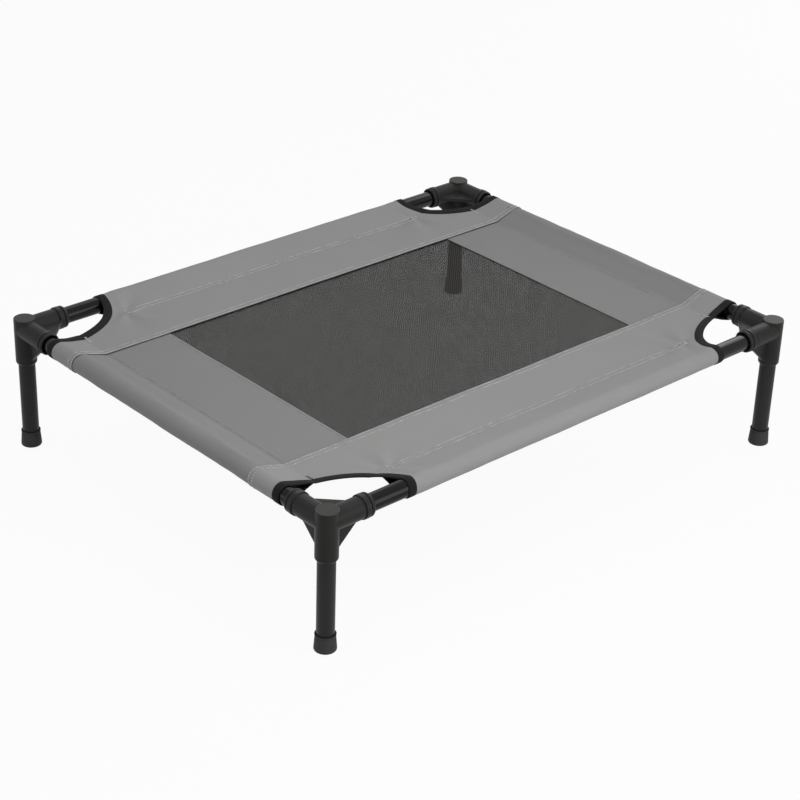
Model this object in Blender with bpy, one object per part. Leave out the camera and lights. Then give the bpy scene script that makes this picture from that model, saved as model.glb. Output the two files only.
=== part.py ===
# Raised dog bed: a push-fit frame of steel tubes and moulded corners that carries a sewn, stretched cover.
# Metres, +Z up. X runs along the long rails, Y along the short rails, and the feet stand on Z = 0.

import math

import bmesh
import bpy
from mathutils import Matrix, Vector

# Overall size, measured over the corner posts
COT_LENGTH = 0.762
COT_WIDTH = 0.610
COT_HEIGHT = 0.178

# Steel tubes
RAIL_DIAMETER = 0.021
RAIL_WALL = 0.001
LEG_DIAMETER = 0.021
LEG_WALL = 0.001
TUBE_CLEARANCE = 0.0003

# Moulded corner: a post, two sockets, two gussets and a web
POST_WALL = 0.0025
POST_LENGTH = 0.063
POST_PROUD = 0.0015
POST_TOP_CHAMFER = 0.0008
POST_LIP_INSET = 0.0026
POST_LIP_HEIGHT = 0.0036
LEG_SOCKET_DEPTH = 0.040
SOCKET_WALL = 0.0025
SOCKET_REACH = 0.058
TUBE_STOP = 0.022
LIP_WIDTH = 0.0056
LIP_CHAMFER = 0.0020
FLANGE_WIDTH = 0.0072
FLANGE_RISE = 0.0012
GROOVE_WIDTH = 0.0011
GROOVE_DEPTH = 0.0006
MOUTH_RECESS_DEPTH = 0.004
MOUTH_RECESS_WIDTH = 0.0015
GUSSET_SETBACK = 0.001
GUSSET_DROP = 0.0395
GUSSET_THICKNESS = 0.005
WEB_THICKNESS = 0.005

# Rubber foot cap
FOOT_HEIGHT = 0.021
FOOT_TOP_DIAMETER = 0.0242
FOOT_BOTTOM_DIAMETER = 0.0266
FOOT_FLOOR = 0.004
FOOT_EDGE_RADIUS = 0.0024
FOOT_LIP_HEIGHT = 0.0014
FOOT_LIP_RISE = 0.0004

# Sewn cover: distances are taken inwards from the rails' axes
FABRIC_THICKNESS = 0.0010
LAYER_GAP = 0.0003
SLEEVE_STITCH = 0.038
LONG_PANEL_REACH = 0.121
END_PANEL_REACH = 0.132
SEAM_LAP = 0.012
MESH_THICKNESS = 0.0007
MESH_OPENING = 0.012
MESH_OPENINGS_LONG = 11
MESH_OPENINGS_SHORT = 8

# Corner cut-out of the cover, and the tape that binds its edge
CUTOUT_ON_LONG_RAIL = 0.119
CUTOUT_ON_SHORT_RAIL = 0.079
BINDING_WIDTH = 0.011
BINDING_THICKNESS = 0.0016

# Facets
CORNER_SIDES = 24
TUBE_SIDES = 20
FOOT_SIDES = 20
CUTOUT_SIDES = 56
SLEEVE_ARC_STEP = math.radians(15)
EDGE_STEPS = 3

# Sizes that follow from the ones above
POST_RADIUS = LEG_DIAMETER / 2 + TUBE_CLEARANCE + POST_WALL
SOCKET_RADIUS = RAIL_DIAMETER / 2 + TUBE_CLEARANCE + SOCKET_WALL
POST_X = COT_LENGTH / 2 - POST_RADIUS
POST_Y = COT_WIDTH / 2 - POST_RADIUS
RAIL_Z = COT_HEIGHT - POST_PROUD - SOCKET_RADIUS
POST_BOTTOM = COT_HEIGHT - POST_LENGTH
LEG_TOP = POST_BOTTOM + LEG_SOCKET_DEPTH
SLEEVE_BORE = RAIL_DIAMETER / 2 + TUBE_CLEARANCE
BARREL_END = SOCKET_REACH - LIP_WIDTH - FLANGE_WIDTH - 2 * GROOVE_WIDTH
FLANGE_START = BARREL_END + GROOVE_WIDTH
FLANGE_END = FLANGE_START + FLANGE_WIDTH

# Heights of the cover's layers over the rails' axes: long panels on top, then end panels, then the mesh
LONG_LAYER_Z = 0.0
END_LAYER_Z = LONG_LAYER_Z - LAYER_GAP - FABRIC_THICKNESS
MESH_LAYER_Z = END_LAYER_Z - LAYER_GAP - MESH_THICKNESS

CORNERS = {
    "front_left": (-1, -1, 0),
    "front_right": (1, -1, 90),
    "back_right": (1, 1, 180),
    "back_left": (-1, 1, 270),
}


def clear_scene():
    for item in list(bpy.data.objects):
        bpy.data.objects.remove(item, do_unlink=True)


def make_material(name, color, roughness, metallic=0.0):
    material = bpy.data.materials.new(name)
    material.use_nodes = True
    shader = material.node_tree.nodes["Principled BSDF"]
    shader.inputs["Base Color"].default_value = (*color, 1.0)
    shader.inputs["Roughness"].default_value = roughness
    shader.inputs["Metallic"].default_value = metallic
    material.diffuse_color = (*color, 1.0)
    return material


def add_object(name, mesh):
    item = bpy.data.objects.new(name, mesh)
    bpy.context.scene.collection.objects.link(item)
    return item


def object_from_bmesh(name, shape):
    bmesh.ops.remove_doubles(shape, verts=shape.verts, dist=1e-6)
    bmesh.ops.recalc_face_normals(shape, faces=shape.faces)
    mesh = bpy.data.meshes.new(name)
    shape.to_mesh(mesh)
    shape.free()
    return add_object(name, mesh)


def turned(name, profile, sides, ring=False):
    """Turns a profile of (radius, height) points about Z; a ring's profile is a closed outline off the axis."""
    shape = bmesh.new()
    points = [shape.verts.new((radius, 0.0, height)) for radius, height in profile]
    edges = [shape.edges.new(pair) for pair in zip(points, points[1:])]
    if ring:
        edges.append(shape.edges.new((points[-1], points[0])))
    bmesh.ops.spin(shape, geom=points + edges, cent=(0, 0, 0), axis=(0, 0, 1), dvec=(0, 0, 0),
                   angle=math.tau, steps=sides, use_merge=True, use_duplicate=False)
    return object_from_bmesh(name, shape)


def extruded(name, outlines, place, travel):
    """Fills flat outlines of (u, w) points, the later ones as holes, and extrudes them along travel."""
    shape = bmesh.new()
    edges = []
    for outline in outlines:
        points = [shape.verts.new(place(u, w)) for u, w in outline]
        edges += [shape.edges.new((points[i - 1], points[i])) for i in range(len(points))]
    bmesh.ops.triangle_fill(shape, use_beauty=True, use_dissolve=False, edges=edges)
    pushed = bmesh.ops.extrude_face_region(shape, geom=list(shape.faces))["geom"]
    moved = [item for item in pushed if isinstance(item, bmesh.types.BMVert)]
    bmesh.ops.translate(shape, verts=moved, vec=travel)
    return object_from_bmesh(name, shape)


def box(name, low, high):
    shape = bmesh.new()
    middle = Vector([(a + b) / 2 for a, b in zip(low, high)])
    size = Vector([b - a for a, b in zip(low, high)])
    bmesh.ops.create_cube(shape, size=1.0, matrix=Matrix.Translation(middle) @ Matrix.Diagonal((*size, 1.0)))
    return object_from_bmesh(name, shape)


def combine(base, tools, operation):
    """Unites the base with each tool, or cuts it by each, and removes the tools."""
    for tool in tools:
        modifier = base.modifiers.new("combine", "BOOLEAN")
        modifier.operation = operation
        modifier.solver = "EXACT"
        modifier.object = tool
    graph = bpy.context.evaluated_depsgraph_get()
    result = bpy.data.meshes.new_from_object(base.evaluated_get(graph))
    base.modifiers.clear()
    base.data = result
    for tool in tools:
        bpy.data.objects.remove(tool, do_unlink=True)
    return base


def finish(item, material, crease=35):
    """Gives a piece its material and smooth shading that stays crisp at its edges."""
    item.data.materials.clear()
    item.data.materials.append(material)
    item.data.shade_smooth()
    item.data.set_sharp_from_angle(angle=math.radians(crease))
    return item


def aim_along(item, direction):
    """Bakes a turn into the mesh, so that what was made along Z runs along the direction."""
    turn = Vector((0, 0, 1)).rotation_difference(Vector(direction)).to_matrix().to_4x4()
    item.data.transform(turn)
    return item


# Moulded corner

def socket_solid(direction):
    """A socket's outside: plain barrel, groove, raised flange, second groove and a chamfered lip."""
    lip_start = FLANGE_END + GROOVE_WIDTH
    groove_radius = SOCKET_RADIUS - GROOVE_DEPTH
    flange_radius = SOCKET_RADIUS + FLANGE_RISE
    profile = [
        (0, 0), (SOCKET_RADIUS, 0), (SOCKET_RADIUS, BARREL_END), (groove_radius, BARREL_END),
        (groove_radius, FLANGE_START), (flange_radius, FLANGE_START), (flange_radius, FLANGE_END),
        (groove_radius, FLANGE_END), (groove_radius, lip_start), (flange_radius, lip_start),
        (flange_radius, SOCKET_REACH - LIP_CHAMFER), (flange_radius - LIP_CHAMFER, SOCKET_REACH), (0, SOCKET_REACH),
    ]
    return aim_along(turned("socket", profile, CORNER_SIDES), direction)


def socket_bore(direction):
    """What a socket's inside takes away: the rail's bore from its stop, and the wider recess in the mouth."""
    bore = RAIL_DIAMETER / 2 + TUBE_CLEARANCE
    recess = bore + MOUTH_RECESS_WIDTH
    mouth = SOCKET_REACH - MOUTH_RECESS_DEPTH
    beyond = SOCKET_REACH + MOUTH_RECESS_DEPTH
    profile = [(0, TUBE_STOP - TUBE_CLEARANCE), (bore, TUBE_STOP - TUBE_CLEARANCE), (bore, mouth),
               (recess, mouth), (recess, beyond), (0, beyond)]
    return aim_along(turned("socket_bore", profile, CORNER_SIDES), direction)


def gusset(along):
    """The upright triangular rib under a socket; along is the socket's direction in plan."""
    along = Vector(along)
    across = Vector((along.y, along.x, 0)) * GUSSET_THICKNESS
    reach = BARREL_END - GUSSET_SETBACK
    rib_top = -SOCKET_RADIUS / 2
    rib_edge = -SOCKET_RADIUS + GROOVE_DEPTH
    outline = [(0, rib_top), (reach, rib_top), (reach, rib_edge), (POST_RADIUS, -GUSSET_DROP), (0, -GUSSET_DROP)]

    def place(u, w):
        return along * u + Vector((0, 0, w)) - across / 2

    return extruded("gusset", [outline], place, across)


def corner_web():
    """The level web between the sockets, cut straight across from flange to flange."""
    reach = FLANGE_START + FLANGE_WIDTH / 4
    outline = [(0, 0), (reach, 0), (reach, SOCKET_RADIUS), (SOCKET_RADIUS, reach), (0, reach)]

    def place(u, w):
        return Vector((u, w, -WEB_THICKNESS / 2))

    return extruded("web", [outline], place, Vector((0, 0, WEB_THICKNESS)))


def connector_mesh():
    """One corner moulding about its post's axis at rail height, with its sockets along +X and +Y."""
    top = COT_HEIGHT - RAIL_Z
    bottom = POST_BOTTOM - RAIL_Z
    body = turned("connector", [
        (0, top), (POST_RADIUS - POST_TOP_CHAMFER, top), (POST_RADIUS, top - POST_TOP_CHAMFER),
        (POST_RADIUS, bottom + POST_LIP_HEIGHT), (POST_RADIUS - POST_LIP_INSET, bottom), (0, bottom),
    ], CORNER_SIDES)
    combine(body, [socket_solid((1, 0, 0)), socket_solid((0, 1, 0)), gusset((1, 0, 0)), gusset((0, 1, 0)),
                   corner_web()], "UNION")
    leg_bore = LEG_DIAMETER / 2 + TUBE_CLEARANCE
    bore_top = LEG_TOP + TUBE_CLEARANCE - RAIL_Z
    post_bore = turned("post_bore", [(0, bore_top), (leg_bore, bore_top), (leg_bore, bottom - LEG_SOCKET_DEPTH),
                                     (0, bottom - LEG_SOCKET_DEPTH)], CORNER_SIDES)
    combine(body, [socket_bore((1, 0, 0)), socket_bore((0, 1, 0)), post_bore], "DIFFERENCE")
    mesh = body.data
    bpy.data.objects.remove(body, do_unlink=True)
    return mesh


# Tubes and feet

def tube_mesh(name, diameter, wall, length):
    outer = diameter / 2
    inner = outer - wall
    tube = turned(name, [(outer, 0), (outer, length), (inner, length), (inner, 0)], TUBE_SIDES, ring=True)
    mesh = tube.data
    bpy.data.objects.remove(tube, do_unlink=True)
    return mesh


def foot_mesh():
    """A cap that widens towards the floor, with a rounded bottom edge, a thin lip on top and a blind bore."""
    top = FOOT_TOP_DIAMETER / 2
    base = FOOT_BOTTOM_DIAMETER / 2
    bore = LEG_DIAMETER / 2 + TUBE_CLEARANCE
    profile = [(0, 0)]
    for i in range(EDGE_STEPS + 1):
        turn = math.pi / 2 * i / EDGE_STEPS
        profile.append((base - FOOT_EDGE_RADIUS * (1 - math.sin(turn)), FOOT_EDGE_RADIUS * (1 - math.cos(turn))))
    lip = FOOT_HEIGHT - FOOT_LIP_HEIGHT
    profile += [(top, lip), (top + FOOT_LIP_RISE, lip), (top + FOOT_LIP_RISE, FOOT_HEIGHT), (bore, FOOT_HEIGHT),
                (bore, FOOT_FLOOR), (0, FOOT_FLOOR)]
    cap = turned("foot", profile, FOOT_SIDES)
    mesh = cap.data
    bpy.data.objects.remove(cap, do_unlink=True)
    return mesh


# Cover

def sleeve_outlines(layer, thickness, reach):
    """Section across a rail: the fabric's loop round the tube, sewn to itself, and the flat panel up to reach.

    u runs inwards from the rail's axis and w upwards; layer is the flat panel's underside.
    """
    outer = SLEEVE_BORE + thickness
    top = layer + thickness

    def tangent_angle(point, radius, side):
        return math.atan2(point[1], point[0]) + side * math.acos(radius / math.hypot(*point))

    def loop(radius, upper, lower):
        start = tangent_angle(upper, radius, 1)
        end = tangent_angle(lower, radius, -1) + math.tau
        count = max(4, round((end - start) / SLEEVE_ARC_STEP))
        turns = [start + (end - start) * i / count for i in range(count + 1)]
        return [(radius * math.cos(turn), radius * math.sin(turn)) for turn in turns]

    seam_top = (SLEEVE_STITCH, top)
    seam_bottom = (SLEEVE_STITCH, layer)
    outside = [seam_top] + loop(outer, seam_top, seam_bottom) + [seam_bottom]
    if reach > SLEEVE_STITCH:
        outside += [(reach, layer), (reach, top)]
    inner_tip = (SLEEVE_STITCH * (1 - thickness / outer), layer + thickness / 2)
    inside = [inner_tip] + loop(SLEEVE_BORE, inner_tip, inner_tip)
    return [outside, inside]


def long_panel(name, side, layer, thickness):
    """A long side panel before its corners are cut: long sleeve and flat, and the turns over the short rails."""

    def across_long_rail(u, w):
        return Vector((-POST_X + SLEEVE_STITCH - thickness / 2, side * (POST_Y - u), RAIL_Z + w))

    run = 2 * (POST_X - SLEEVE_STITCH) + thickness
    panel = extruded(name, sleeve_outlines(layer, thickness, LONG_PANEL_REACH), across_long_rail,
                     Vector((run, 0, 0)))
    turns = []
    for end in (-1, 1):
        def across_short_rail(u, w, end=end):
            return Vector((end * (POST_X - u), side * (POST_Y - SLEEVE_STITCH), RAIL_Z + w))

        turns.append(extruded("turn", sleeve_outlines(layer, thickness, SLEEVE_STITCH), across_short_rail,
                              Vector((0, -side * (LONG_PANEL_REACH - SLEEVE_STITCH), 0))))
    return combine(panel, turns, "UNION")


def cutout(corner, margin):
    """The elliptical column about a corner post that clears the cover from the moulding."""
    side_x, side_y, _ = CORNERS[corner]
    shape = bmesh.new()
    spread = Matrix.Diagonal((CUTOUT_ON_LONG_RAIL - margin, CUTOUT_ON_SHORT_RAIL - margin, 1.0, 1.0))
    place = Matrix.Translation((side_x * POST_X, side_y * POST_Y, RAIL_Z))
    bmesh.ops.create_cone(shape, cap_ends=True, segments=CUTOUT_SIDES, radius1=1.0, radius2=1.0,
                          depth=2 * SLEEVE_STITCH, matrix=place @ spread)
    return object_from_bmesh("cutout", shape)


def end_panel(name, end):
    """An end panel: its sleeve round the short rail, its flat, and the tongues that lie under the long panels."""
    start = POST_Y - LONG_PANEL_REACH - LAYER_GAP

    def across_short_rail(u, w):
        return Vector((end * (POST_X - u), -start, RAIL_Z + w))

    panel = extruded(name, sleeve_outlines(END_LAYER_Z, FABRIC_THICKNESS, END_PANEL_REACH), across_short_rail,
                     Vector((0, 2 * start, 0)))
    tongues = []
    for side in (-1, 1):
        near = end * (POST_X - SLEEVE_STITCH - LAYER_GAP)
        far = end * (POST_X - END_PANEL_REACH)
        inner = side * (start - SEAM_LAP / 2)
        outer = side * (start + LAYER_GAP + SEAM_LAP)
        low = (min(near, far), min(inner, outer), RAIL_Z + END_LAYER_Z)
        high = (max(near, far), max(inner, outer), RAIL_Z + END_LAYER_Z + FABRIC_THICKNESS)
        tongues.append(box("tongue", low, high))
    return combine(panel, tongues, "UNION")


def mesh_centre(name):
    """The mesh that laps under the four panels; a plain grid of square openings stands for its fine gaps."""
    seen_x = POST_X - END_PANEL_REACH
    seen_y = POST_Y - LONG_PANEL_REACH

    def rectangle(x, y, half_x, half_y):
        return [(x - half_x, y - half_y), (x + half_x, y - half_y), (x + half_x, y + half_y), (x - half_x, y + half_y)]

    outlines = [rectangle(0, 0, seen_x + SEAM_LAP, seen_y + SEAM_LAP)]
    for i in range(MESH_OPENINGS_LONG):
        for j in range(MESH_OPENINGS_SHORT):
            x = seen_x * ((2 * i + 1) / MESH_OPENINGS_LONG - 1)
            y = seen_y * ((2 * j + 1) / MESH_OPENINGS_SHORT - 1)
            outlines.append(rectangle(x, y, MESH_OPENING / 2, MESH_OPENING / 2))

    def place(u, w):
        return Vector((u, w, RAIL_Z + MESH_LAYER_Z))

    return extruded(name, outlines, place, Vector((0, 0, MESH_THICKNESS)))


def build():
    clear_scene()
    plastic = make_material("black_moulded_plastic", (0.030, 0.029, 0.029), 0.45)
    paint = make_material("black_painted_steel", (0.016, 0.016, 0.017), 0.25)
    leg_paint = make_material("black_satin_steel", (0.030, 0.030, 0.030), 0.5)
    rubber = make_material("black_rubber", (0.035, 0.035, 0.035), 0.7)
    fabric = make_material("grey_woven_fabric", (0.27, 0.266, 0.262), 0.85)
    net = make_material("charcoal_mesh_fabric", (0.075, 0.073, 0.070), 0.8)
    tape = make_material("black_binding_tape", (0.022, 0.021, 0.021), 0.8)

    frame = bpy.data.objects.new("cot_frame", None)
    bpy.context.scene.collection.objects.link(frame)

    def place(item, material, location=(0, 0, 0), turn=(0, 0, 0)):
        item.location = location
        item.rotation_euler = turn
        item.parent = frame
        return finish(item, material)

    # Corner mouldings, legs and feet
    moulding = connector_mesh()
    leg = tube_mesh("leg", LEG_DIAMETER, LEG_WALL, LEG_TOP - FOOT_FLOOR - TUBE_CLEARANCE)
    foot = foot_mesh()
    for corner, (side_x, side_y, turn) in CORNERS.items():
        post = (side_x * POST_X, side_y * POST_Y)
        place(add_object("corner_connector_" + corner, moulding), plastic, (*post, RAIL_Z), (0, 0, math.radians(turn)))
        place(add_object("leg_" + corner, leg), leg_paint, (*post, FOOT_FLOOR + TUBE_CLEARANCE))
        place(add_object("foot_cap_" + corner, foot), rubber, (*post, 0))

    # Rails, each between the stops of its two sockets
    long_tube = tube_mesh("long_rail", RAIL_DIAMETER, RAIL_WALL, 2 * (POST_X - TUBE_STOP))
    short_tube = tube_mesh("short_rail", RAIL_DIAMETER, RAIL_WALL, 2 * (POST_Y - TUBE_STOP))
    quarter = math.pi / 2
    for name, side in (("front", -1), ("back", 1)):
        place(add_object("long_rail_" + name, long_tube), paint, (TUBE_STOP - POST_X, side * POST_Y, RAIL_Z),
              (0, quarter, 0))
    for name, end in (("left", -1), ("right", 1)):
        place(add_object("short_rail_" + name, short_tube), paint, (end * POST_X, TUBE_STOP - POST_Y, RAIL_Z),
              (-quarter, 0, 0))

    # Cover panels, mesh and bindings
    for name, side in (("front", -1), ("back", 1)):
        ends = [name + "_left", name + "_right"]
        panel = long_panel("side_panel_" + name, side, LONG_LAYER_Z, FABRIC_THICKNESS)
        combine(panel, [cutout(corner, 0.0) for corner in ends], "DIFFERENCE")
        place(panel, fabric)
        for corner in ends:
            tape_layer = LONG_LAYER_Z - (BINDING_THICKNESS - FABRIC_THICKNESS) / 2
            binding = long_panel("corner_binding_" + corner, side, tape_layer, BINDING_THICKNESS)
            combine(binding, [cutout(corner, BINDING_WIDTH)], "DIFFERENCE")
            combine(binding, [cutout(corner, LAYER_GAP)], "INTERSECT")
            place(binding, tape)
    for name, end in (("left", -1), ("right", 1)):
        place(end_panel("end_panel_" + name, end), fabric)
    place(mesh_centre("mesh_panel"), net)


build()
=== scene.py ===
# %% [markdown]
# # Dressing a raised dog bed
# The bed is a frame of black steel tubes pushed into four moulded corners, with a sewn grey cover stretched
# over the rails and a dark mesh in its middle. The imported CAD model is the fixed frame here. It already has
# every piece at its real size and place, so this script reads its measurements from there, makes each
# visible piece again with finer surfaces, and gives it a finish that is worked out by nodes and not painted
# from a picture.

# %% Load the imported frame
import math

import bmesh
import bpy
from mathutils import Matrix, Vector, noise


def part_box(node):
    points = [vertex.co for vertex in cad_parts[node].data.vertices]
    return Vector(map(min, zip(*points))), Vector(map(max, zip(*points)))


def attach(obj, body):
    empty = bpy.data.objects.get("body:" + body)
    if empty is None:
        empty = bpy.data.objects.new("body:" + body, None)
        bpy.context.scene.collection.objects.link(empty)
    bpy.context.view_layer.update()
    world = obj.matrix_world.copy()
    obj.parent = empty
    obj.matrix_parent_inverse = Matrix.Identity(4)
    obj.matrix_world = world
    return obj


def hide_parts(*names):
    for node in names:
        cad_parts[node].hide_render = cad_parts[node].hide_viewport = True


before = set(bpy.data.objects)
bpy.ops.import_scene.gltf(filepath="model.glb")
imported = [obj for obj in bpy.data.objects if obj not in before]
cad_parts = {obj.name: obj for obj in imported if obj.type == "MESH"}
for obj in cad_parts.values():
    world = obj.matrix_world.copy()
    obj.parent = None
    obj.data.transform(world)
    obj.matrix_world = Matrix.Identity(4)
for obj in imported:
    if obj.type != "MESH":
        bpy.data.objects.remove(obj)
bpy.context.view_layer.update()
print("CAD nodes:", len(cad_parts))

# %% [markdown]
# ## Taking the bed's measurements
# A dressmaker measures the body before cutting. The rails' axes decide where all the cloth goes, so their
# height, their distance from the middle and their thickness come first. The boxes of the CAD nodes hold
# them. Everything below is in metres, with X along the long rails, Y along the short rails and Z up. A
# corner has three numbers: its sides in X and in Y, and how many degrees its moulding is turned by.

# %% Measure the frame
MM = 0.001


def middle(box, axis):
    return (box[0][axis] + box[1][axis]) / 2


def width(box, axis):
    return box[1][axis] - box[0][axis]


front_rail_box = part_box("long_rail_front")
right_rail_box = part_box("short_rail_right")
leg_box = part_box("leg_front_left")
foot_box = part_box("foot_cap_front_left")
corner_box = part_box("corner_connector_front_left")

HALF_X = middle(right_rail_box, 0)
HALF_Y = -middle(front_rail_box, 1)
RAIL_Z = middle(front_rail_box, 2)
RAIL_RADIUS = width(front_rail_box, 2) / 2
LEG_RADIUS = width(leg_box, 0) / 2
SIDES = {"front": -1, "back": 1}
ENDS = {"left": -1, "right": 1}
CORNERS = {"front_left": (-1, -1, 0), "front_right": (1, -1, 90),
           "back_right": (1, 1, 180), "back_left": (-1, 1, 270)}
print("rails' axes:", round(2 * HALF_X, 4), "x", round(2 * HALF_Y, 4), "at height", round(RAIL_Z, 4))

# %% [markdown]
# ## Shader maths that reads like maths
# A finish is a small machine of nodes. Wiring it by hand takes three lines for each sum, so one small class
# wraps a node's output and lends it the signs of arithmetic: each sum, difference and product adds its Math
# node.

# %% A socket with arithmetic


class Wire:
    """The output of a node, which can be added, multiplied and compared like a number."""

    def __init__(self, wiring, socket):
        self.wiring = wiring
        self.socket = socket

    def maths(self, operation, *others):
        return self.wiring.add("ShaderNodeMath", {"operation": operation}, enumerate((self, *others)))

    def __add__(self, other):
        return self.maths("ADD", other)

    __radd__ = __add__

    def __mul__(self, other):
        return self.maths("MULTIPLY", other)

    __rmul__ = __mul__

    def __sub__(self, other):
        return self.maths("SUBTRACT", other)

    def __rsub__(self, other):
        return (self * -1) + other

    def sine(self):
        return self.maths("SINE")

    def size(self):
        return self.maths("ABSOLUTE")

    def most(self, other):
        return self.maths("MAXIMUM", other)

    def least(self, other):
        return self.maths("MINIMUM", other)


print("socket arithmetic ready")

# %% [markdown]
# ## One method for all other nodes
# The Math nodes come from the signs. Every other node comes from one method, which takes the node's type,
# its settings and the values or links of its sockets. A finish adds short names for the nodes that it needs
# most. The world at the end is wired in the same way.

# %% A tree of nodes, and a finish that grows one


class Wiring:
    """A tree of nodes under construction."""

    def __init__(self, tree):
        self.tree = tree

    def feed(self, socket, value):
        if isinstance(value, Wire):
            self.tree.links.new(value.socket, socket)
        else:
            socket.default_value = value

    def add(self, kind, settings=(), values=(), output=0):
        node = self.tree.nodes.new(kind)
        for setting, value in dict(settings).items():
            setattr(node, setting, value)
        for socket, value in dict(values).items():
            self.feed(node.inputs[socket], value)
        return Wire(self, node.outputs[output])


class Finish(Wiring):
    """A material under construction, round its Principled shader."""

    def __init__(self, name):
        self.material = bpy.data.materials.new(name)
        self.material.use_nodes = True
        super().__init__(self.material.node_tree)
        self.shader = self.tree.nodes["Principled BSDF"]

    def set(self, socket, value):
        self.feed(self.shader.inputs[socket], value)

    def place(self):
        return self.add("ShaderNodeTexCoord", output="Object")

    def cloth_place(self):
        return self.add("ShaderNodeUVMap", {"uv_map": "cloth"})

    def parts(self, place):
        separated = self.add("ShaderNodeSeparateXYZ", {}, {0: place}).socket.node
        return [Wire(self, output) for output in separated.outputs]

    def cloud(self, place, scale, detail=2.0, roughness=0.5):
        values = {"Vector": place, "Scale": scale, "Detail": detail, "Roughness": roughness}
        return self.add("ShaderNodeTexNoise", {"noise_dimensions": "3D"}, values, "Fac")

    def between(self, share, first, second):
        return self.add("ShaderNodeMix", {"data_type": "RGBA"}, {0: share, 6: first, 7: second}, 2)

    def mottle(self, share, first, second, warmth=0.0):
        """A colour that drifts between two greys of the same warmth."""
        return self.between(share, grey(first, warmth), grey(second, warmth))

    def relief(self, height):
        """Lets light see a height in metres that the mesh doesn't have."""
        bump = self.add("ShaderNodeBump", {}, {"Height": height, "Strength": 1.0, "Distance": 1.0})
        self.set("Normal", bump)


def grey(value, warmth=0.0):
    """A nearly neutral linear colour: warmth lifts its red and lowers its blue by that share."""
    return (value * (1 + warmth), value, value * (1 - warmth), 1.0)


print("shader helpers ready")

# %% [markdown]
# ## The hard finishes
# Moulded corners are black plastic with a fine spark-eroded grain, so highlights spread and soften. The
# rails are steel with a thick glossy paint, which shows the studio as long streaks. The legs have a satin
# coat of the same black, and the foot caps are matt rubber with a little dust in it. Faint clouds in the
# colour and the roughness keep each of them from looking like a drawing. The posts' tops are painted
# lighter and warmer: a little dust, and a painted highlight where they face the light.

# %% Plastic, paint and rubber
TOP_DUST_AND_HIGHLIGHT_DEPTH = 1.0 * MM
TOP_DUST_AND_HIGHLIGHT_FADE = 0.6 * MM


def moulded_plastic():
    finish = Finish("moulded_plastic")
    place = finish.place()
    clouds = finish.cloud(place, 34.0, 3.0)
    _, _, height = finish.parts(place)
    # The posts' tops are painted lighter and warmer: a little dust, and a painted highlight where they face
    # the light.
    top_dust_and_highlight = (height - (corner_box[1][2] - TOP_DUST_AND_HIGHLIGHT_DEPTH)) * (1 / TOP_DUST_AND_HIGHLIGHT_FADE)
    black = finish.mottle(clouds, 0.014, 0.024, 0.03)
    finish.set("Base Color", finish.between(top_dust_and_highlight, black, grey(0.037, 0.05)))
    finish.set("Roughness", clouds * 0.10 + 0.36)
    finish.set("Specular IOR Level", 0.12)
    finish.relief(finish.cloud(place, 2600.0, 2.0) * (0.03 * MM))
    return finish.material


def rail_paint():
    finish = Finish("glossy_rail_paint")
    place = finish.place()
    finish.set("Base Color", finish.mottle(finish.cloud(place, 20.0), 0.004, 0.007))
    finish.set("Roughness", finish.cloud(place, 60.0, 2.0) * 0.06 + 0.08)
    finish.set("Specular IOR Level", 0.16)
    finish.relief(finish.cloud(place, 420.0, 2.0) * (0.02 * MM))
    return finish.material


def leg_paint():
    finish = Finish("satin_leg_paint")
    place = finish.place()
    clouds = finish.cloud(place, 26.0, 3.0)
    finish.set("Base Color", finish.mottle(clouds, 0.016, 0.022, 0.02))
    finish.set("Roughness", clouds * 0.12 + 0.34)
    finish.set("Specular IOR Level", 0.15)
    finish.relief(finish.cloud(place, 900.0, 2.0) * (0.02 * MM))
    return finish.material


def cap_rubber():
    finish = Finish("cap_rubber")
    place = finish.place()
    clouds = finish.cloud(place, 45.0, 4.0, 0.6)
    finish.set("Base Color", finish.mottle(clouds, 0.031, 0.047, 0.02))
    finish.set("Roughness", clouds * 0.12 + 0.55)
    finish.set("Specular IOR Level", 0.16)
    finish.relief(finish.cloud(place, 1500.0, 3.0) * (0.03 * MM))
    return finish.material


PLASTIC = moulded_plastic()
RAIL_PAINT = rail_paint()
LEG_PAINT = leg_paint()
RUBBER = cap_rubber()
print("hard finishes:", PLASTIC.name, RAIL_PAINT.name, LEG_PAINT.name, RUBBER.name)

# %% [markdown]
# ## The cloth finishes
# The grey cloth is a coated plain weave: warp and weft pass over and under each other about every half
# millimetre. Two sines, one along each thread direction, make that chequer, and their product is both the
# height for the bump and a faint change of colour. They read the cloth's own UV map, which is laid out in
# metres along the cut pattern, so the threads follow the cloth round the rails. The seams draw the cloth
# into shallow grooves in the bump, and are painted darker there as painted shade. A painted highlight runs
# along the folds of the hems, and painted shade lies beneath them. Where a side panel is sewn over an end
# panel, the lower cloth dips into a groove in the bump along a line of painted shadow. The end panels' cloth
# is painted darker than the side panels', as painted shade for the weaker sheen of the same weave turned
# the other way. Seams and folds have their distances from the rails' axes: the side panels reach inwards
# as far as SIDE_REACH and the end panels as far as END_REACH.

# %% Woven cloth
THREAD_PITCH = 1.15 * MM
SEAM_PULL = 1.3 * MM
FOLD_HIGHLIGHT_WIDTH = 1.3 * MM
TUCK_WIDTH = 1.5 * MM
SHADE_START = 0.2 * MM
SHADE_FADE = 0.3 * MM
SIDE_REACH = 121 * MM
END_REACH = 133 * MM
GAUGE = 6.3 * MM
SLEEVE_ROW = 38.6 * MM
HEM_ROW = 119.4 * MM
SIDE_ROWS = [SLEEVE_ROW, SLEEVE_ROW + GAUGE, HEM_ROW - GAUGE, HEM_ROW]
END_ROWS = [42 * MM, 129.6 * MM]


def waves(distance, pitch):
    """A sine along a distance, with one wave to each pitch."""
    return (distance * (2 * math.pi / pitch)).sine()


def near(distance, line, reach):
    """1 on a line, and falling to 0 at this reach on both sides of it."""
    return ((distance - line).size() * (-1 / reach) + 1).most(0)


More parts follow.
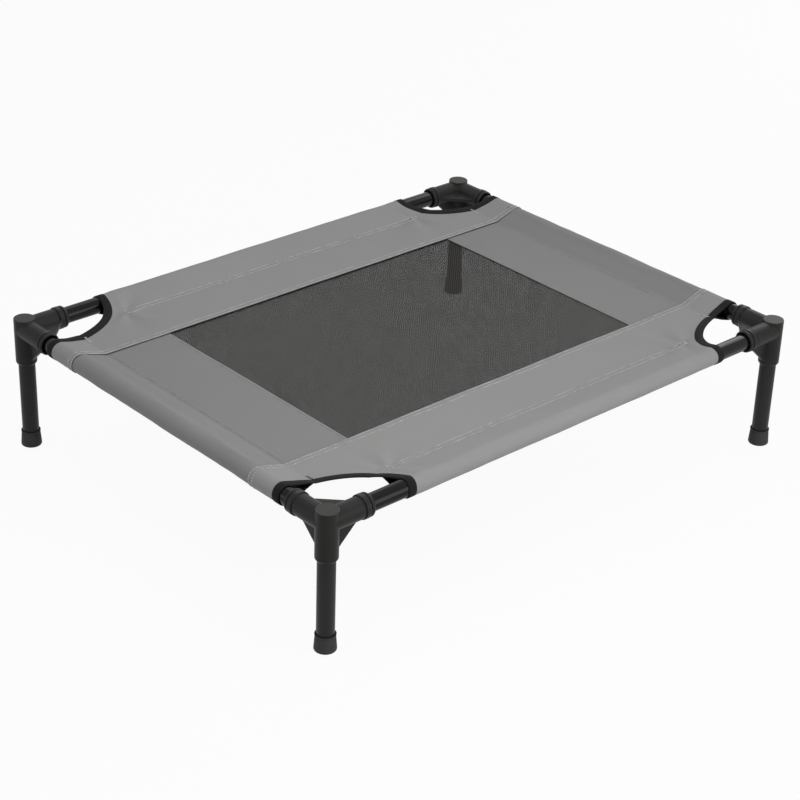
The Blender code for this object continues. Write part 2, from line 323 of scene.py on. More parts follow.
def woven_cloth(name, shade, seams, seam_axis, fold, tuck):
    """Grey cloth: its seams and its hem's fold cross one axis of the pattern, its tuck the other."""
    finish = Finish(name)
    pattern = finish.parts(finish.cloth_place())
    along, across = pattern[1 - seam_axis], pattern[seam_axis]
    chequer = waves(along, THREAD_PITCH) * waves(across, THREAD_PITCH)
    slubs = finish.cloud(finish.cloth_place(), 900.0, 2.0)
    fading = finish.cloud(finish.cloth_place(), 9.0, 3.0, 0.6)
    gathers = finish.cloud(finish.cloth_place(), 150.0, 1.0) * 0.9 + 0.4
    # The seams draw shallow grooves in the bump and are painted darker there: painted shade.
    seam_groove_and_painted_shade = sum(near(across, seam, SEAM_PULL) for seam in seams)
    # A painted highlight along the hem's fold.
    painted_fold_highlight = near(across, fold, FOLD_HIGHLIGHT_WIDTH)
    # Where a side panel's hem lies over an end panel: a groove in the bump, and a line of painted shadow.
    tuck_groove_and_painted_shade = near(along.size(), tuck, TUCK_WIDTH)
    # Painted shade on the cloth past the fold, where it turns under.
    painted_shade_under_fold = ((across - fold - SHADE_START) * (1 / SHADE_FADE)).most(0).least(1)
    tone = fading * 0.6 + slubs * 0.25 + chequer * 0.08 - seam_groove_and_painted_shade * 0.5
    dyed = finish.between(tone, grey(shade * 0.93, 0.008), grey(shade * 1.09, 0.002))
    with_fold_highlight = finish.between(painted_fold_highlight * 0.7, dyed, grey(shade * 1.12))
    # The tuck's line and the fold's underside are painted dark grey: painted shadow and painted shade.
    finish.set("Base Color", finish.between((tuck_groove_and_painted_shade * 0.75).most(painted_shade_under_fold), with_fold_highlight, grey(shade * 0.2)))
    finish.set("Roughness", slubs * 0.10 + 0.72)
    finish.set("Sheen Weight", 0.08)
    finish.set("Sheen Roughness", 0.5)
    finish.set("Specular IOR Level", 0.1)
    finish.relief(chequer * (0.02 * MM) + slubs * (0.02 * MM)
                  - seam_groove_and_painted_shade * gathers * (0.30 * MM) - tuck_groove_and_painted_shade * (0.5 * MM))
    return finish.material


SIDE_CLOTH = woven_cloth("side_panel_cloth", 0.300, SIDE_ROWS, 1, SIDE_REACH, 2 * HALF_X)
# The end panels' cloth is the same weave painted darker: painted shade for the weaker sheen of the weave
# turned the other way.
END_CLOTH = woven_cloth("end_panel_cloth", 0.250, END_ROWS, 0, END_REACH, HALF_Y - SIDE_REACH)
print("woven cloths:", SIDE_CLOTH.name, END_CLOTH.name)

# %% [markdown]
# ## Tape, yarn and thread
# The binding is a narrow tape with cross ribs that are broken up along their length. The mesh's yarns are
# coated with plastic, and their finish has no bump, because at this size their own fibres can't be seen.
# The sewing thread is a paler grey than the cloth, as the seams show, with painted shade at random where it
# would sink in.

# %% Tape, yarn and thread
TAPE_RIB = 1.3 * MM
TAPE_RIB_BREAK = 1.9 * MM


def binding_tape():
    finish = Finish("ribbed_binding")
    along, across, _ = finish.parts(finish.cloth_place())
    ribs = waves(along, TAPE_RIB) * waves(across, TAPE_RIB_BREAK)
    clouds = finish.cloud(finish.cloth_place(), 60.0, 3.0)
    finish.set("Base Color", finish.mottle(clouds, 0.011, 0.018, 0.02))
    finish.set("Roughness", clouds * 0.10 + 0.74)
    finish.set("Specular IOR Level", 0.07)
    finish.set("Sheen Weight", 0.02)
    finish.relief(ribs * (0.04 * MM))
    return finish.material


def mesh_yarn(name, dark, light):
    finish = Finish(name)
    clouds = finish.cloud(finish.place(), 14.0, 3.0)
    finish.set("Base Color", finish.mottle(clouds, dark, light, 0.05))
    finish.set("Roughness", clouds * 0.10 + 0.60)
    finish.set("Specular IOR Level", 0.05)
    return finish.material


def sewing_thread(name, shade):
    """Thread painted darker at random places: painted shade where it would sink deeper into the cloth."""
    finish = Finish(name)
    sunken_painted_shade = (finish.cloud(finish.place(), 130.0, 2.0) * 3 - 1).most(0).least(1)
    finish.set("Base Color", finish.mottle(sunken_painted_shade, shade * 1.15, shade * 0.6))
    finish.set("Roughness", 0.6)
    return finish.material


TAPE = binding_tape()
# The warp is painted lighter than the weft: a painted highlight for the shine on the crossings of one dark
# yarn.
WARP_YARN = mesh_yarn("mesh_warp_yarn", 0.046, 0.060)
WEFT_YARN = mesh_yarn("mesh_weft_yarn", 0.007, 0.010)
GREY_THREAD = sewing_thread("grey_thread", 0.60)
SLATE_THREAD = sewing_thread("slate_thread", 0.36)
BLACK_THREAD = sewing_thread("black_thread", 0.03)
print("tape, yarns and threads:", TAPE.name, WARP_YARN.name, WEFT_YARN.name, GREY_THREAD.name)

# %% [markdown]
# ## Helpers for every piece
# A finished piece is a mesh in an object that stays at the origin, unturned, like the CAD nodes. It rides
# on the bed's one body and carries its material.

# %% Make a piece


def as_mesh(name, shape):
    """The finished shape as a mesh. The shape itself is freed."""
    mesh = bpy.data.meshes.new(name)
    shape.to_mesh(mesh)
    shape.free()
    return mesh


def as_object(name, data):
    """A new object in the scene, at the origin."""
    item = bpy.data.objects.new(name, data)
    bpy.context.scene.collection.objects.link(item)
    return item


def make_piece(name, shape, material):
    mesh = as_mesh(name, shape)
    mesh.materials.append(material)
    mesh.shade_smooth()
    item = as_object(name, mesh)
    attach(item, "root")
    return item


def modifier(item, kind, **settings):
    made = item.modifiers.new(kind.lower(), kind)
    for setting, value in settings.items():
        setattr(made, setting, value)


print("piece helpers ready")

# %% [markdown]
# ## Turning a profile
# Turned pieces start from a wire profile. Its corners are first rounded off, because no real edge is a
# knife's edge and a rounded one catches a line of light. A corner is cut back by less than half of each edge
# beside it, so two corners never meet. The spin then sweeps the profile about an axis.

# %% Round a profile and spin it
FACETS = 72
SAME_PLACE = 1e-6
MOST_CUT = 0.45


def rounded(profile, radius, steps=3, closed=False):
    """The profile with each corner cut back by the radius and joined by a short curve."""
    points = [Vector(point) for point in profile]
    count = len(points)
    result = []
    for i, corner in enumerate(points):
        if not closed and i in (0, count - 1):
            result.append(corner)
            continue
        before = points[i - 1] - corner
        after = points[(i + 1) % count] - corner
        cut = min(radius, before.length * MOST_CUT, after.length * MOST_CUT)
        start = corner + before.normalized() * cut
        end = corner + after.normalized() * cut
        for step in range(steps + 1):
            share = step / steps
            result.append(start.lerp(corner, share).lerp(corner.lerp(end, share), share))
    return result


def spin_profile(shape, profile, facets, place, closed=False):
    """Turns (radius, height) points about the Z axis of place, beside whatever the shape holds already."""
    points = [shape.verts.new((radius, 0.0, height)) for radius, height in profile]
    edges = [shape.edges.new(pair) for pair in zip(points, points[1:])]
    if closed:
        edges.append(shape.edges.new((points[-1], points[0])))
    bmesh.ops.spin(shape, geom=points + edges, cent=(0, 0, 0), axis=(0, 0, 1), angle=math.tau,
                   steps=facets, use_merge=True)
    spun = [vert for vert in shape.verts if not vert.tag]
    bmesh.ops.remove_doubles(shape, verts=spun, dist=SAME_PLACE)
    spun = [vert for vert in shape.verts if not vert.tag]
    bmesh.ops.transform(shape, matrix=place, verts=spun)
    for vert in spun:
        vert.tag = True


def turned_piece(name, profile, facets, place, material, closed=False):
    shape = bmesh.new()
    spin_profile(shape, profile, facets, place, closed)
    bmesh.ops.recalc_face_normals(shape, faces=shape.faces)
    return make_piece(name, shape, material)


def at_post(corner, height):
    """The place on a corner post's axis at this height above the floor."""
    side_x, side_y, _ = CORNERS[corner]
    return Matrix.Translation((side_x * HALF_X, side_y * HALF_Y, height))


ALONG_X = Matrix.Rotation(math.pi / 2, 4, "Y")
ALONG_Y = Matrix.Rotation(-math.pi / 2, 4, "X")
print("facets round a turned piece:", FACETS)

# %% [markdown]
# ## Rails and legs
# Each tube is one spin: the outline of its wall is a thin rectangle off the axis, and the spin closes it.
# The corners of the outline are rounded by a fraction of a millimetre, like the edge that a saw and a
# tumbler leave.

# %% Spin the tubes
TUBE_WALL = 1.0 * MM
TUBE_EDGE = 0.25 * MM
TUBE_PLAY = 0.3 * MM
TUBE_FACETS = 64


def tube_piece(name, node, radius, place, length, material):
    outline = [(radius, 0), (radius, length), (radius - TUBE_WALL, length), (radius - TUBE_WALL, 0)]
    profile = rounded(outline, TUBE_EDGE, closed=True)
    tube = turned_piece(name, profile, TUBE_FACETS, place, material, closed=True)
    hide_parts(node)


for name, side in SIDES.items():
    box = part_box("long_rail_" + name)
    start = Matrix.Translation((box[0][0], side * HALF_Y, RAIL_Z)) @ ALONG_X
    tube_piece("long_tube_" + name, "long_rail_" + name, RAIL_RADIUS, start, width(box, 0),
               RAIL_PAINT)
for name, end in ENDS.items():
    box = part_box("short_rail_" + name)
    start = Matrix.Translation((end * HALF_X, box[0][1], RAIL_Z)) @ ALONG_Y
    tube_piece("short_tube_" + name, "short_rail_" + name, RAIL_RADIUS, start, width(box, 1),
               RAIL_PAINT)
for corner in CORNERS:
    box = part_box("leg_" + corner)
    tube_piece("leg_tube_" + corner, "leg_" + corner, LEG_RADIUS, at_post(corner, box[0][2]), width(box, 2),
               LEG_PAINT)
print("tubes spun:", len(SIDES) + len(ENDS) + len(CORNERS))

# %% [markdown]
# ## Foot caps
# The cap is a small rubber cup that widens towards the floor, so the bed doesn't rock. A thin bead round its
# mouth grips the leg, and the fold under that bead is the dark line that shows on every foot. The leg stands
# in the cup with a little play, all round and below.

# %% Spin the foot caps
CAP_TOP_RADIUS = 12.1 * MM
CAP_BASE_RADIUS = width(foot_box, 0) / 2
CAP_HEIGHT = width(foot_box, 2)
CAP_FLOOR = 4 * MM
CAP_BASE_EDGE = 2.6 * MM
CAP_BASE_STEPS = 6
CAP_BEAD = 2.2 * MM
CAP_BEAD_EDGE = 0.4 * MM
CAP_TAPER = 0.3 * MM
CAP_SWELL = 0.2 * MM
FOLD_DEPTH = 0.7 * MM
FOLD_BOTTOM = 0.3 * MM
FOLD_TOP = 0.6 * MM


def cap_profile():
    """From the middle of the base up the outside, over the bead and down the bore to the cup's floor."""
    bore = LEG_RADIUS + TUBE_PLAY
    neck = CAP_HEIGHT - CAP_BEAD
    lower = rounded([(0, 0), (CAP_BASE_RADIUS, 0), (CAP_TOP_RADIUS - CAP_TAPER, neck)],
                    CAP_BASE_EDGE, CAP_BASE_STEPS)
    upper = [(CAP_TOP_RADIUS - FOLD_DEPTH, neck + FOLD_BOTTOM), (CAP_TOP_RADIUS, neck + FOLD_TOP),
             (CAP_TOP_RADIUS + CAP_SWELL, CAP_HEIGHT), (bore, CAP_HEIGHT), (bore, CAP_FLOOR), (0, CAP_FLOOR)]
    return lower + rounded([lower[-1]] + upper, CAP_BEAD_EDGE)[1:]


for corner in CORNERS:
    cap = turned_piece("rubber_cap_" + corner, cap_profile(), FACETS, at_post(corner, 0),
                       RUBBER)
    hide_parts("foot_cap_" + corner)
print("caps spun:", len(CORNERS))

# %% [markdown]
# ## The moulded corner
# This is the piece with the most shape in it: an upright post, two sockets with a flange, a groove and a
# lip, an upright gusset under each socket and a level web between them. They are separate closed bodies at
# first, and the bores that will be cut into them are bodies too.

# %% Draw a corner's bodies and its bores
CORNER_TOP = corner_box[1][2] - RAIL_Z
CORNER_BOTTOM = corner_box[0][2] - RAIL_Z
POST_RADIUS = 13.3 * MM
POST_CHAMFER = 2.6 * MM
POST_CHAMFER_RISE = 3.6 * MM
POST_EDGE = 0.7 * MM
SOCKET_RADIUS = 13.3 * MM
SOCKET_REACH = 58 * MM
BARREL_END = 43 * MM
FLANGE_RADIUS = SOCKET_RADIUS + 1.2 * MM
FLANGE_SLOPE = 0.6 * MM
FLANGE = 7.0 * MM
GROOVE = 1.3 * MM
GROOVE_DEPTH = 1.1 * MM
LIP_RADIUS = FLANGE_RADIUS - 0.3 * MM
LIP_CHAMFER = 2.4 * MM
GUSSET_DROP = 39.5 * MM
GUSSET_REACH = BARREL_END - 1 * MM
GUSSET_LAP = 0.8 * MM
WEB_REACH = BARREL_END + 3 * MM
RIB = 5 * MM
BORE_DEPTH = 12 * MM
MOUTH_DEPTH = 4 * MM
MOUTH_STEP = 1.5 * MM
OVERRUN = 3 * MM


def socket_profile():
    """Barrel, groove, flange, groove and lip, from the post's axis to the socket's mouth."""
    flange_start = BARREL_END + GROOVE
    flange_end = flange_start + FLANGE
    lip_start = flange_end + GROOVE
    groove_radius = SOCKET_RADIUS - GROOVE_DEPTH
    return [(0, 0), (SOCKET_RADIUS, 0), (SOCKET_RADIUS, BARREL_END), (groove_radius, BARREL_END),
            (groove_radius, flange_start), (FLANGE_RADIUS, flange_start + FLANGE_SLOPE),
            (FLANGE_RADIUS, flange_end), (groove_radius, flange_end), (groove_radius, lip_start),
            (LIP_RADIUS, lip_start), (LIP_RADIUS, SOCKET_REACH - LIP_CHAMFER),
            (FLANGE_RADIUS - LIP_CHAMFER, SOCKET_REACH), (0, SOCKET_REACH)]


def plate(shape, outline, place, travel):
    """A flat plate: its outline becomes a face, which is pushed along travel."""
    face = shape.faces.new([shape.verts.new(place(u, w)) for u, w in outline])
    pushed = bmesh.ops.extrude_face_region(shape, geom=[face])["geom"]
    moved = [item for item in pushed if isinstance(item, bmesh.types.BMVert)]
    bmesh.ops.translate(shape, verts=moved, vec=travel)


def corner_body():
    """The closed bodies that make up a corner, about the post's axis at rail height."""
    shape = bmesh.new()
    post = [(0, CORNER_BOTTOM), (POST_RADIUS - POST_CHAMFER, CORNER_BOTTOM),
            (POST_RADIUS, CORNER_BOTTOM + POST_CHAMFER_RISE), (POST_RADIUS, CORNER_TOP), (0, CORNER_TOP)]
    spin_profile(shape, rounded(post, POST_EDGE), FACETS, Matrix())
    for turn in (ALONG_X, ALONG_Y):
        spin_profile(shape, socket_profile(), FACETS, turn)
    gusset = [(0, -SOCKET_RADIUS / 2), (GUSSET_REACH, -SOCKET_RADIUS / 2),
              (GUSSET_REACH, GUSSET_LAP - SOCKET_RADIUS), (POST_RADIUS, -GUSSET_DROP), (0, -GUSSET_DROP)]
    plate(shape, gusset, lambda u, w: (u, -RIB / 2, w), (0, RIB, 0))
    plate(shape, gusset, lambda u, w: (-RIB / 2, u, w), (RIB, 0, 0))
    web = [(0, 0), (WEB_REACH, 0), (WEB_REACH, SOCKET_RADIUS), (SOCKET_RADIUS, WEB_REACH), (0, WEB_REACH)]
    plate(shape, web, lambda u, w: (u, w, -RIB / 2), (0, 0, RIB))
    bmesh.ops.recalc_face_normals(shape, faces=shape.faces)
    return shape


def corner_bores():
    """What is cut away: the two mouths with their recesses, and the bore for the leg."""
    shape = bmesh.new()
    rail_bore = RAIL_RADIUS + TUBE_PLAY
    recess = rail_bore + MOUTH_STEP
    mouth = SOCKET_REACH - MOUTH_DEPTH
    cut = [(0, mouth - BORE_DEPTH), (rail_bore, mouth - BORE_DEPTH), (rail_bore, mouth), (recess, mouth),
           (recess, SOCKET_REACH + OVERRUN), (0, SOCKET_REACH + OVERRUN)]
    for turn in (ALONG_X, ALONG_Y):
        spin_profile(shape, cut, FACETS, turn)
    leg_bore = LEG_RADIUS + TUBE_PLAY
    cut = [(0, CORNER_BOTTOM - OVERRUN), (leg_bore, CORNER_BOTTOM - OVERRUN),
           (leg_bore, CORNER_BOTTOM + BORE_DEPTH), (0, CORNER_BOTTOM + BORE_DEPTH)]
    spin_profile(shape, cut, FACETS, Matrix())
    bmesh.ops.recalc_face_normals(shape, faces=shape.faces)
    return shape


print("corner height and reach in mm:", round((CORNER_TOP - CORNER_BOTTOM) / MM), round(SOCKET_REACH / MM))

# %% [markdown]
# ## Melting the corner into one moulding
# A voxel remesh melts the bodies into one skin, and a Boolean cuts the bores into it. A second remesh with a
# little smoothing leaves the small fillets that a mould has where walls meet, which no bevel could follow
# across such joins. Flat stretches need few faces, so a Decimate modifier takes out more than half of them.

# %% Melt one corner and place it four times
VOXEL = 0.42 * MM


def settled_mesh(item):
    """The item's mesh as its modifiers leave it."""
    graph = bpy.context.evaluated_depsgraph_get()
    graph.update()
    return bpy.data.meshes.new_from_object(item.evaluated_get(graph))


def corner_mesh():
    body = as_object("corner_body", as_mesh("corner_body", corner_body()))
    modifier(body, "REMESH", mode="VOXEL", voxel_size=VOXEL)
    melted = as_object("corner_melted", settled_mesh(body))
    bores = as_object("corner_bores", as_mesh("corner_bores", corner_bores()))
    modifier(melted, "BOOLEAN", operation="DIFFERENCE", solver="EXACT", object=bores)
    modifier(melted, "REMESH", mode="VOXEL", voxel_size=VOXEL)
    modifier(melted, "SMOOTH", factor=0.5, iterations=3)
    modifier(melted, "DECIMATE", decimate_type="COLLAPSE", ratio=0.4)
    mesh = settled_mesh(melted)
    for item in (body, melted, bores):
        bpy.data.objects.remove(item, do_unlink=True)
    return mesh


moulded = corner_mesh()
print("one moulded corner:", len(moulded.polygons), "faces")
for corner, (_, _, turn) in CORNERS.items():
    shape = bmesh.new()
    shape.from_mesh(moulded)
    place = at_post(corner, RAIL_Z) @ Matrix.Rotation(math.radians(turn), 4, "Z")
    bmesh.ops.transform(shape, matrix=place, verts=shape.verts)
    item = make_piece("moulded_corner_" + corner, shape, PLASTIC)
    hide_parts("corner_connector_" + corner)

# %% [markdown]
# ## How the cloth goes round a rail
# Seen from the end of a rail, the cloth leaves the flat middle at a seam, climbs straight to the tube, goes
# round it and comes back underneath to the same seam. Because cloth hardly stretches, a point on it is best
# named by its distance along the cut pattern. The Sleeve class turns that distance into a place, and hands
# back the direction that the outer face looks in, so that hems and stitches can sit in or on the cloth. A
# sleeve has its own radius, and its own height over the rail's axis at the upper and the lower end of its
# seam, because at the short rails the side panels lie over the end panels.

# %% The sleeve's section
CLOTH = 0.45 * MM
SEAM = 38 * MM
ALLOWANCE = 9 * MM
HEM_FOLD = 12 * MM
HEM_TURN = 0.56 * MM
OUTER_LAYER = 0.9 * MM
INNER_LAYER = 0.55 * MM
SIDE_FACE = 1.15 * MM
END_FACE = -0.25 * MM
END_UNDERSIDE = -1.25 * MM
WRAP_UNDERSIDE = -1.75 * MM
UNDERSIDE_CUT = 0.35
UNDERSIDE_FADE = 0.4


class Sleeve:
    """The cloth's outer face across a rail: u runs inwards from the rail's axis and w upwards from it."""

    def __init__(self, radius, upper, lower):
        self.radius = radius
        self.upper = Vector((SEAM, upper))
        self.lower = Vector((SEAM, lower))
        self.start = math.atan2(upper, SEAM) + math.acos(radius / self.upper.length)
        self.end = math.atan2(lower, SEAM) - math.acos(radius / self.lower.length) + math.tau
        self.climb = math.sqrt(self.upper.length_squared - radius ** 2)
        self.arc = radius * (self.end - self.start)
        self.back = math.sqrt(self.lower.length_squared - radius ** 2)
        self.girth = self.climb + self.arc + self.back

    def around(self, angle):
        return Vector((math.cos(angle), math.sin(angle)))

    def cut_span(self, distance):
        """How far inwards a corner's cut counts a place: less underneath, where it is cut squarer."""
        place, _ = self.at(distance)
        under = SEAM - distance - self.climb - self.arc
        if under <= 0:
            return place.x
        return place.x * (1 - (1 - UNDERSIDE_CUT) * min(1.0, under / (self.back * UNDERSIDE_FADE)))

    def at(self, distance):
        """The place and outward direction at a distance inwards of the rail's axis along the flat pattern."""
        past = SEAM - distance
        if past <= 0:
            return Vector((distance, self.upper.y)), Vector((0, 1))
        if past < self.climb:
            place = self.upper.lerp(self.around(self.start) * self.radius, past / self.climb)
            return place, self.around(self.start)
        past -= self.climb
        if past < self.arc:
            out = self.around(self.start + past / self.radius)
            return out * self.radius, out
        past -= self.arc
        if past < self.back:
            place = (self.around(self.end) * self.radius).lerp(self.lower, past / self.back)
            return place, self.around(self.end)
        return self.lower + Vector((past - self.back, 0)), Vector((0, -1))

    def stations(self, step, allowance=0.0):
        """Pattern distances from the seam round the rail, and on through an allowance, about a step apart."""
        stretches = [(self.climb, step), (self.arc, step * 0.5), (self.back, step)]
        if allowance:
            stretches.append((allowance, step))
        result = []
        begin = 0.0
        for length, spacing in stretches:
            count = max(2, round(length / spacing))
            result += [SEAM - begin - length * (i + 1) / count for i in range(count)]
            begin += length
        return result


side_sleeve = Sleeve(RAIL_RADIUS + OUTER_LAYER, SIDE_FACE, 0.0)
end_sleeve = Sleeve(RAIL_RADIUS + INNER_LAYER, END_FACE, END_UNDERSIDE)
wrap_sleeve = Sleeve(end_sleeve.radius + OUTER_LAYER, SIDE_FACE, WRAP_UNDERSIDE)
print("cloth round a long rail:", round(side_sleeve.girth, 4), "m")

# %% [markdown]
# ## Tension, lift and ripples
# Stretched cloth isn't a flat board. Along each cut-out the edge runs from the top of one tube to the top
# of the other, so it lifts a little out of the plane. Between the seams the cloth has faint ripples, and
# where it climbs to a rail they run across the sleeve. All cover pieces use the same small functions, so
# what lies on top stays on top. The short sleeves are looser and crease where they turn over the tube, and
# the end of each long sleeve's seam puckers the cloth round it.

# %% Lift and ripple
CUT_LONG = 119 * MM
CUT_SHORT = 79 * MM
TAPE_WIDTH = 11 * MM
LIFT = 2.6 * MM
LIFT_START = 12 * MM
LIFT_FADE = 15 * MM
DRAG_START = 12 * MM
SIDE_DRAG = 0.4 * MM
WRAP_DRAG = 0.3 * MM
END_DRAG = 0.7 * MM
FLAT_START = 25 * MM
PUCKER = 1.5 * MM
PUCKER_REACH = 17 * MM
PUCKER_START = 24 * MM
PUCKER_FOLDS = 5
CREASE = 1.1 * MM
CREASE_WIDTH = 4.2 * MM
SLEEVE_END = HALF_X - 122 * MM


def smooth_step(low, high, value):
    share = min(1.0, max(0.0, (value - low) / (high - low)))
    return share * share * (3 - 2 * share)


def inland(u, v):
    """About how far a place is from the cut-out's edge, for distances from the short and long rail's axes."""
    stretch = math.hypot(u / (CUT_LONG - TAPE_WIDTH), v / (CUT_SHORT - TAPE_WIDTH)) - 1
    return max(0.0, stretch * (CUT_LONG + CUT_SHORT) / 2)


def edge_lift(u, v):
    """How far the cloth rises near a cut-out, at the same two distances."""
    if u < 0 or v < 0:
        return 0.0
    fade = math.exp(-inland(u, v) / LIFT_FADE)
    return LIFT * fade * smooth_step(LIFT_START, SEAM, u) * smooth_step(LIFT_START, SEAM, v)


def ripple(x, y):
    """Faint unevenness of the stretched cloth, the same for every layer."""
    broad = noise.noise(Vector((x * 9, y * 9, 0.3)))
    fine = noise.noise(Vector((x * 31, y * 31, 5.1)))
    return (broad * 0.45 + fine * 0.14) * MM


def flatness(distance):
    """How freely the cloth ripples: not at a sleeve's seam, and fully a little way inwards of it."""
    return smooth_step(SEAM, SEAM + FLAT_START, distance)


def sleeve_ripple(along, distance, height):
    """Soft drag lines on a sleeve: none at the seam, most where the cloth meets the tube."""
    long_wave = noise.noise(Vector((along * 15, distance * 42, 9.7)))
    short_wave = noise.noise(Vector((along * 46, distance * 30, 2.2)))
    return (0.6 + long_wave + 0.55 * short_wave) * height * smooth_step(0, DRAG_START, SEAM - distance)


def turn_crease(along, distance):
    """A soft crease that wanders along a short sleeve, where its looser cloth turns over the tube."""
    line = (3.5 + 6 * noise.noise(Vector((along * 21, 3.3, 0.7)))) * MM
    return CREASE * math.exp(-((distance - line) / CREASE_WIDTH) ** 2)


def pucker(along, across):
    """Creases that run out from the end of a long sleeve's seam, where its lock draws the cloth together."""
    aside = abs(along) - SLEEVE_END
    inwards = across - SEAM - GAUGE / 2
    reach = math.hypot(aside, inwards) / PUCKER_REACH
    turn = PUCKER_FOLDS * math.atan2(inwards, aside) + (0.8 if along > 0 else 2.6)
    held = smooth_step(TAPE_WIDTH, PUCKER_START, inland(HALF_X - abs(along), max(across, 0.0)))
    return PUCKER * math.cos(turn) * reach * math.exp(1 - reach) * held


print("lift at the middle of a cut-out:", round(edge_lift(76 * MM, 48 * MM) / MM, 2), "mm")

# %% [markdown]
# ## From the pattern to the bed
# A side panel rolls over its long rail in one direction and over both short rails in the other. An end
# panel rolls over its short rail alone. One function each turns a place on the cut pattern into a place in
# the bed, and a depth lets a hem's second layer lie under the first.

# %% Places on the panels


def hem_turn(distance, reach):
    """For a place past the hem's edge: where it lies after the cloth turns under, and how deep."""
    past = distance - reach
    if past <= 0:
        return distance, 0.0
    if past < math.pi * HEM_TURN:
        angle = past / HEM_TURN
        return reach + HEM_TURN * math.sin(angle), HEM_TURN * (1 - math.cos(angle))
    return reach - (past - math.pi * HEM_TURN), 2 * HEM_TURN


def side_point(along, across, side, depth=0.0):
    """A side panel's point: along is x on the pattern, across the distance from the long rail's axis."""
    end = 1 if along > 0 else -1
    near_end = HALF_X - abs(along)
    across, fold = hem_turn(across, SIDE_REACH)
    depth += fold
    if across < SEAM and near_end >= SEAM:
        place, out = side_sleeve.at(across)
        place = place + out * (sleeve_ripple(along, across, SIDE_DRAG) + pucker(along, across) - depth)
        lift = edge_lift(near_end, place.x)
        return Vector((along, side * (HALF_Y - place.x), RAIL_Z + place.y + lift))
    place, out = wrap_sleeve.at(near_end)
    rise = sleeve_ripple(across, near_end, WRAP_DRAG)
    place = place + out * (rise - depth)
    x = end * (HALF_X - place.x)
    y = side * (HALF_Y - across)
    lift = edge_lift(place.x, across)
    flat = flatness(near_end) * flatness(across)
    return Vector((x, y, RAIL_Z + place.y + lift + ripple(x, y) * flat + pucker(along, across)))


def end_point(across, along, end, depth=0.0):
    """An end panel's point: across is the distance from the short rail's axis, along is y."""
    across, fold = hem_turn(across, END_REACH)
    place, out = end_sleeve.at(across)
    rise = sleeve_ripple(along, across, END_DRAG) + turn_crease(along, across)
    place = place + out * (rise - depth - fold)
    x = end * (HALF_X - place.x)
    return Vector((x, along, RAIL_Z + place.y + ripple(x, along) * flatness(across)))


print("a hem is", round(2 * HEM_TURN / MM, 2), "mm thick")

# %% [markdown]
# ## Laying the panels
# Each panel starts as a flat grid, one vertex for each pair of pattern distances. The same distances become
# the UV map, in metres, before the grid is laid on the frame. Faces that the pattern hasn't got are then
# taken away, and a Solidify modifier gives the cloth its thickness, inwards from the outer face.

# %% A grid that knows its pattern


def stepped_grid(columns, rows):
    """A flat grid with that many steps each way, and the column and row of each of its vertices."""
    shape = bmesh.new()
    bmesh.ops.create_grid(shape, x_segments=columns, y_segments=rows, size=1.0)
    steps = {}
    for vert in shape.verts:
        steps[vert] = (round((vert.co.x + 1) / 2 * columns), round((vert.co.y + 1) / 2 * rows))
    return shape, steps


def map_cloth(shape, pattern):
    """Writes the pattern distances of each vertex into the UV map that the finishes read."""
    layer = shape.loops.layers.uv.new("cloth")
    for face in shape.faces:
        for loop in face.loops:
            loop[layer].uv = pattern[loop.vert]


def laid_cloth(name, columns, rows, point, keep, material):
    """A grid of cloth with its columns and rows at these pattern distances, laid by the point function."""
    shape, steps = stepped_grid(len(columns) - 1, len(rows) - 1)
    pattern = {vert: (columns[i], rows[j]) for vert, (i, j) in steps.items()}
    map_cloth(shape, pattern)
    for vert, (column, row) in pattern.items():
        vert.co = point(column, row)
    gone = []
    for face in shape.faces:
        across, along = zip(*(pattern[vert] for vert in face.verts))
        if not keep(sum(across) / 4, sum(along) / 4):
            gone.append(face)
    bmesh.ops.delete(shape, geom=gone, context="FACES")
    cloth = make_piece(name, shape, material)
    modifier(cloth, "SOLIDIFY", thickness=CLOTH, offset=-1.0, use_even_offset=True)
    return cloth


print("cloth is", round(CLOTH / MM, 2), "mm thick")

# %% [markdown]
# ## The four panels
# The rows and columns of a panel lie closer together where the cloth bends. A side panel has a sleeve along
# one edge, a wrap round the short rail at each end, and a hem inwards. It is cut away at two corners, up to
# the middle of the tape that will cover the edge. An end panel is a strip with a sleeve and a hem, and both
# its ends are lapped under the side panels.

# %% Lay the four panels
ROLL_STEP = 3.2 * MM
SIDE_STEP = 3.6 * MM
FLAT_STEP = 4 * MM
HEM_STEPS = 4
END_MARGIN = 1 * MM


def clear_of_cutouts(along, across):
    """Whether a place on the pattern is outside the ellipse that the cover's edge follows at a corner."""
    near_end = HALF_X - abs(along)
    if near_end < SEAM and across < SEAM:
        return False
    u = wrap_sleeve.cut_span(near_end)
    v = side_sleeve.cut_span(across)
    half_tape = TAPE_WIDTH / 2
    return math.hypot(u / (CUT_LONG - half_tape), v / (CUT_SHORT - half_tape)) > 1


def spread(first, last, step):
    """Distances from the first to the last, in even steps of about this size."""
    count = max(1, round(abs(last - first) / step))
    return [first + (last - first) * i / count for i in range(count + 1)]


def hem_stations(reach):
    """Pattern distances round the turn of a hem and along its second layer."""
    turn = [reach + HEM_TURN * math.pi * (i + 1) / HEM_STEPS for i in range(HEM_STEPS)]
    return turn + spread(turn[-1], turn[-1] + HEM_FOLD, FLAT_STEP)[1:]


